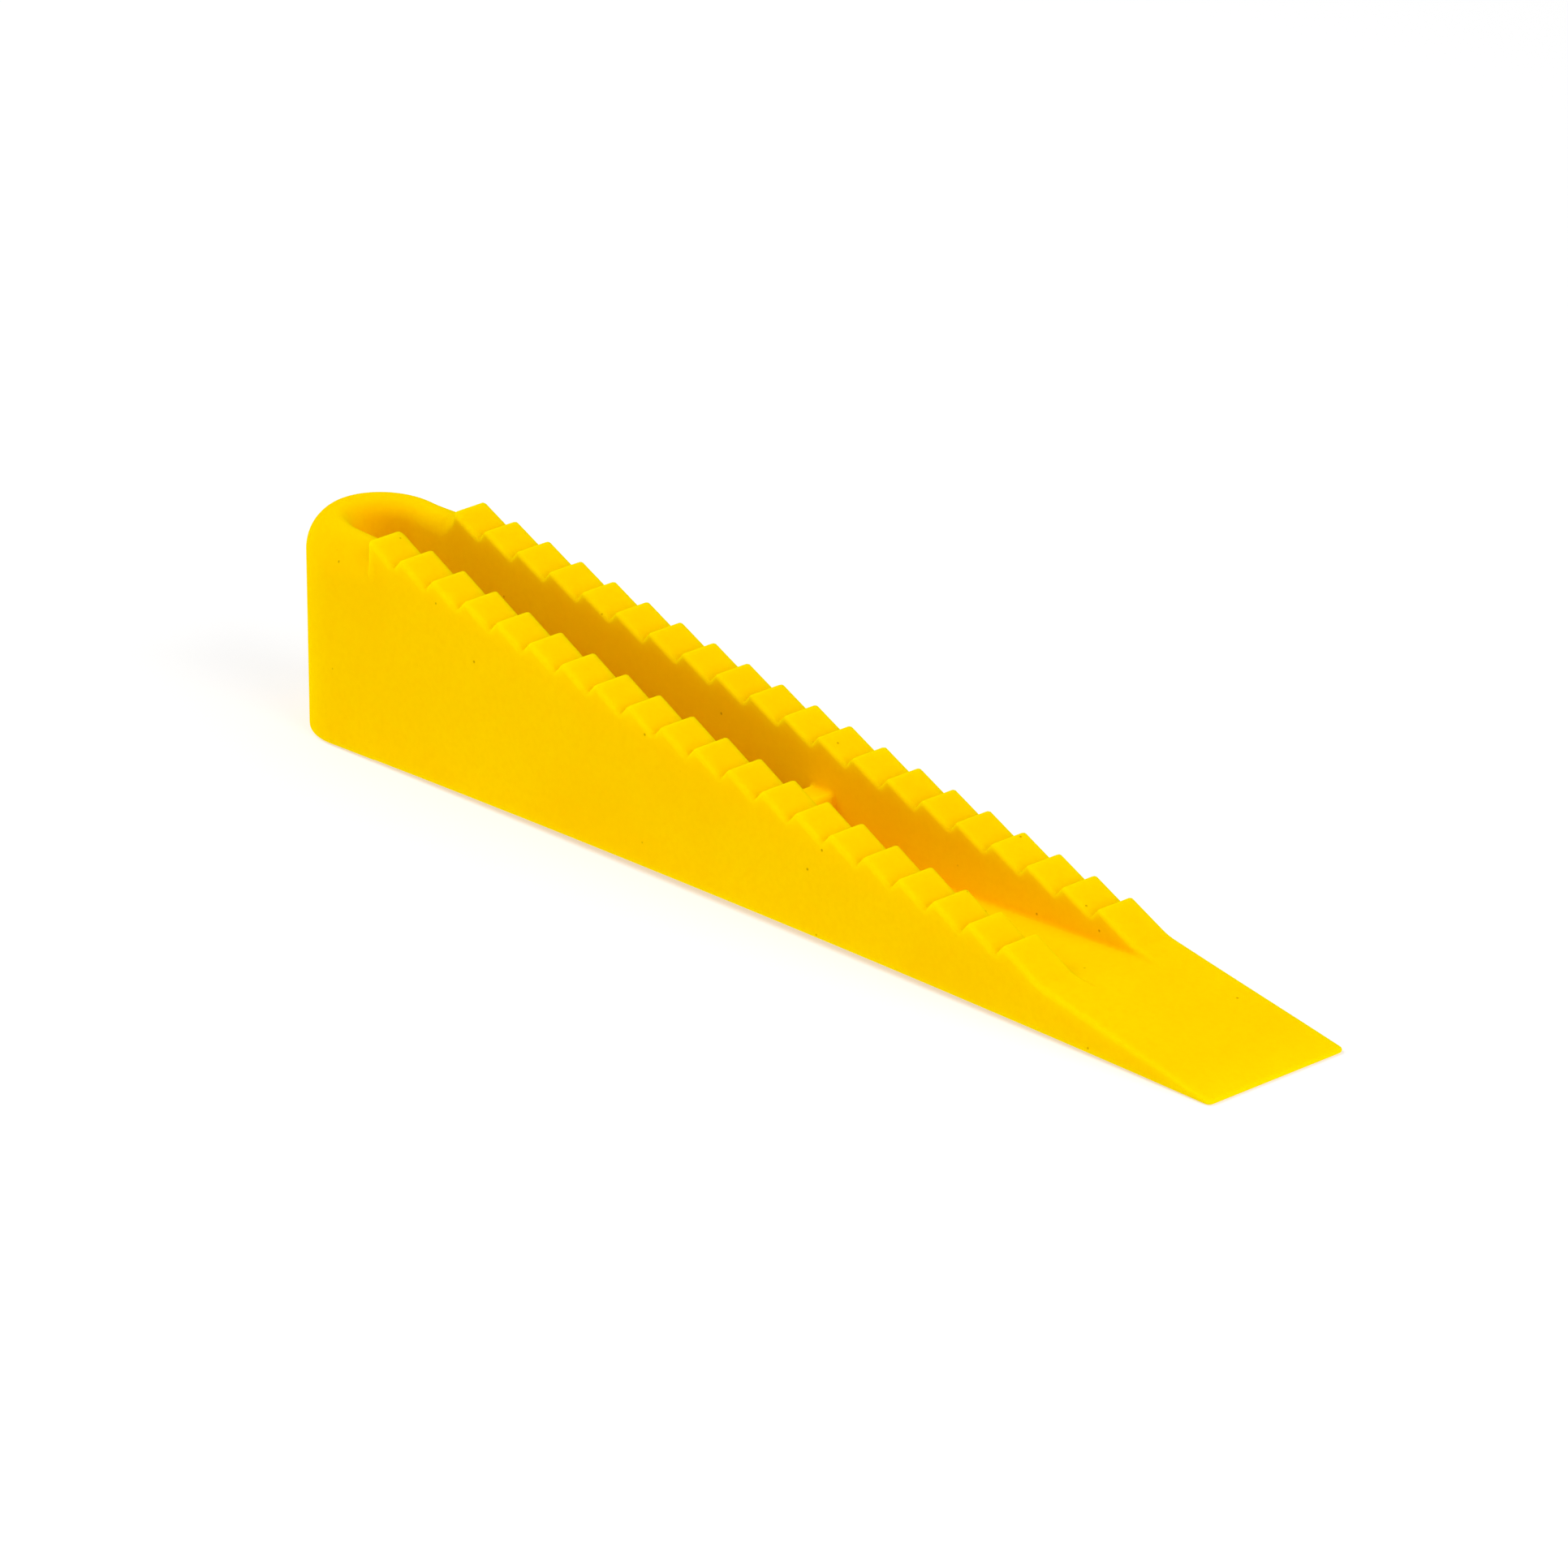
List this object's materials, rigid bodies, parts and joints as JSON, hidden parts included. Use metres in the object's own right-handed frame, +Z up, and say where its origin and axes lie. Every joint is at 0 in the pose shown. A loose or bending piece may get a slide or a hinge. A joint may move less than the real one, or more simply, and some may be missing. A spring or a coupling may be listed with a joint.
{
  "type": "serrated wedge",
  "caption": "Slender moulded plastic wedge with a rounded heel, an open centre slot, ratchet teeth along both side walls and a thin flat toe.",
  "frame": {"origin": "middle of the flat base, on the surface that the wedge lies on", "axes": "+X from the heel towards the thin toe, +Y across the wedge, +Z up"},
  "size_m": [0.095, 0.0122, 0.0163],
  "materials": {
    "yellow_plastic": "smooth satin, as moulded"
  },
  "bodies": {
    "root": {"wedge": "yellow_plastic"}
  },
  "joints": []
}
